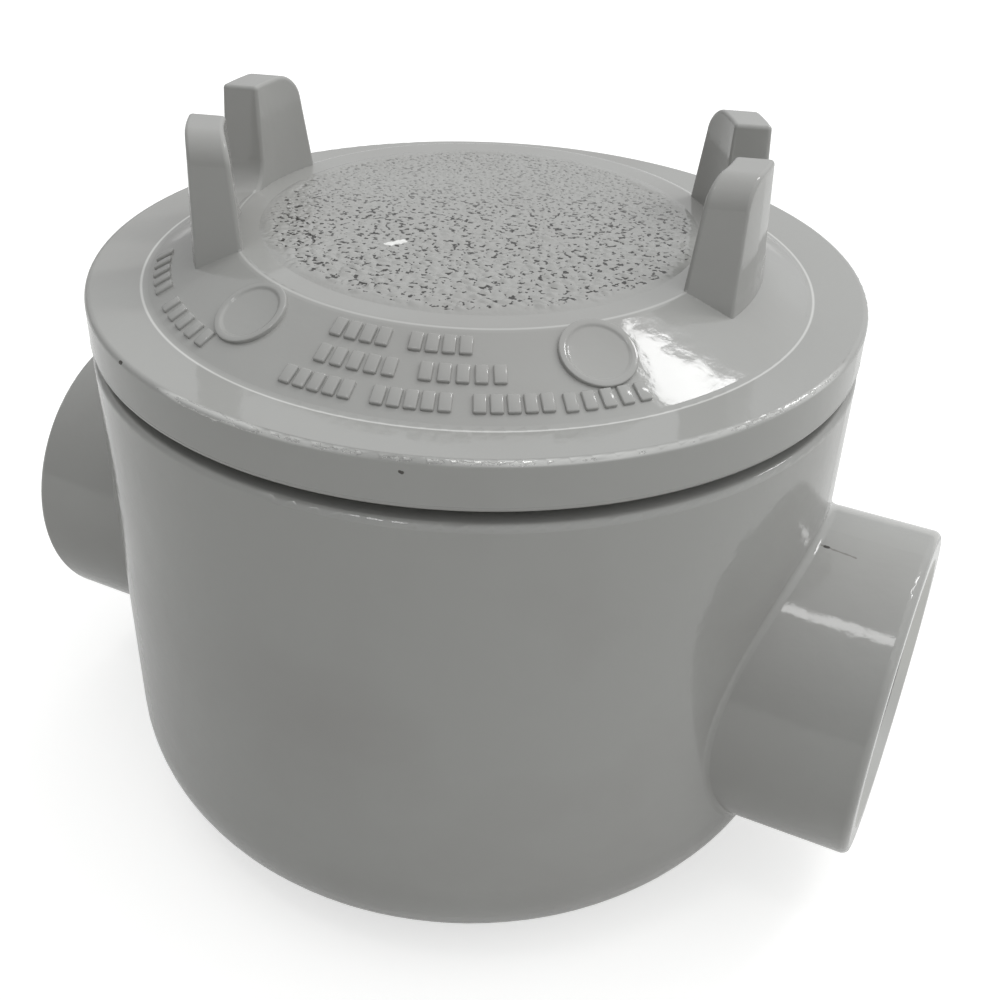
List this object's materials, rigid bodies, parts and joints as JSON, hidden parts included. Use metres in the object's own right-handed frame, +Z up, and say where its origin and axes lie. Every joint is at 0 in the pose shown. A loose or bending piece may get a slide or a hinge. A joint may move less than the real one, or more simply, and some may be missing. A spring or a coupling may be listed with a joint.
{
  "type": "explosion-proof junction box",
  "caption": "Round cast conduit junction box with opposite threaded hubs and a screw cover that has upright lugs for a turning bar, sealed by an O-ring.",
  "frame": {"origin": "centre of the flat base", "axes": "+Z up along the cover's thread, X through both conduit hubs"},
  "size_m": [0.1214, 0.095, 0.0947],
  "materials": {
    "enamel": "gloss light grey enamel on cast aluminium",
    "cover_enamel": "gloss light grey enamel on cast aluminium, chipped along the rim",
    "seal_rubber": "matt black nitrile rubber",
    "ground_screw": "green dyed zinc plate on steel",
    "ground_washer": "zinc plated steel"
  },
  "bodies": {
    "box": {"body": "enamel", "ground_screw": "ground_screw", "ground_washer": "ground_washer"},
    "seal": {"cover_o_ring": "seal_rubber"},
    "cover": {"cover": "cover_enamel"}
  },
  "joints": [
    {"name": "cover_lift", "type": "slide", "parent": "box", "child": "seal", "axis": [0, 0, 1], "range_m": [0, 0.01483]},
    {"name": "cover_turn", "type": "hinge", "parent": "seal", "child": "cover", "pos_m": [0, 0, 0.071], "axis": [0, 0, 1], "range_deg": [0, 2520]}
  ],
  "couplings": [
    {"joint": "cover_lift", "follows": "cover_turn", "m_per_rad": 0.0003369}
  ]
}
